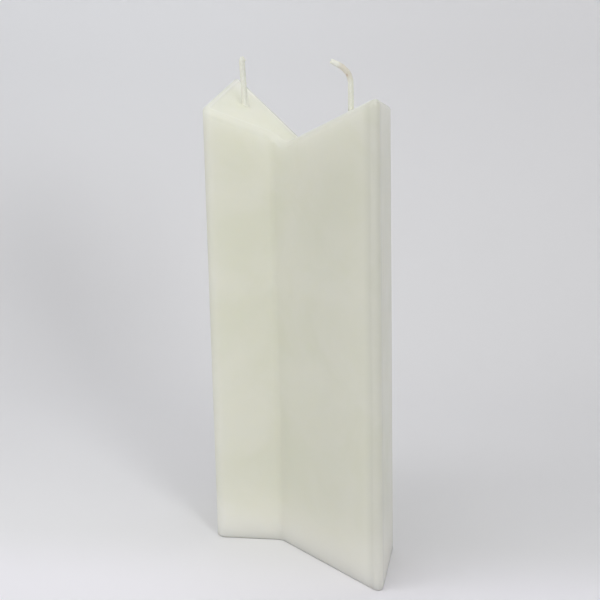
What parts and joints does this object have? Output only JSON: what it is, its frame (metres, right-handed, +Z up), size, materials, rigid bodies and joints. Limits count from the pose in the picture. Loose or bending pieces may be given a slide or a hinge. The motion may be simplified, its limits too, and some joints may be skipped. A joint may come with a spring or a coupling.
{
  "type": "pillar candle",
  "caption": "Tall white wax pillar of triangular lobes run together off centre, with a V-shaped sloping top and a braided wick standing in each lobe.",
  "frame": {"origin": "middle of the flat base, on the surface that the candle stands on", "axes": "+Z up the candle; +X along the line that both lobes share, towards the right lobe's square end; +Y towards the left lobe's peak"},
  "size_m": [0.0798, 0.093, 0.216],
  "materials": {
    "wax": "satin, translucent ivory wax",
    "wick": "matte, wax-primed braided cotton"
  },
  "bodies": {
    "root": {"wax_body": "wax", "left_wick": "wick", "right_wick": "wick"}
  },
  "joints": []
}
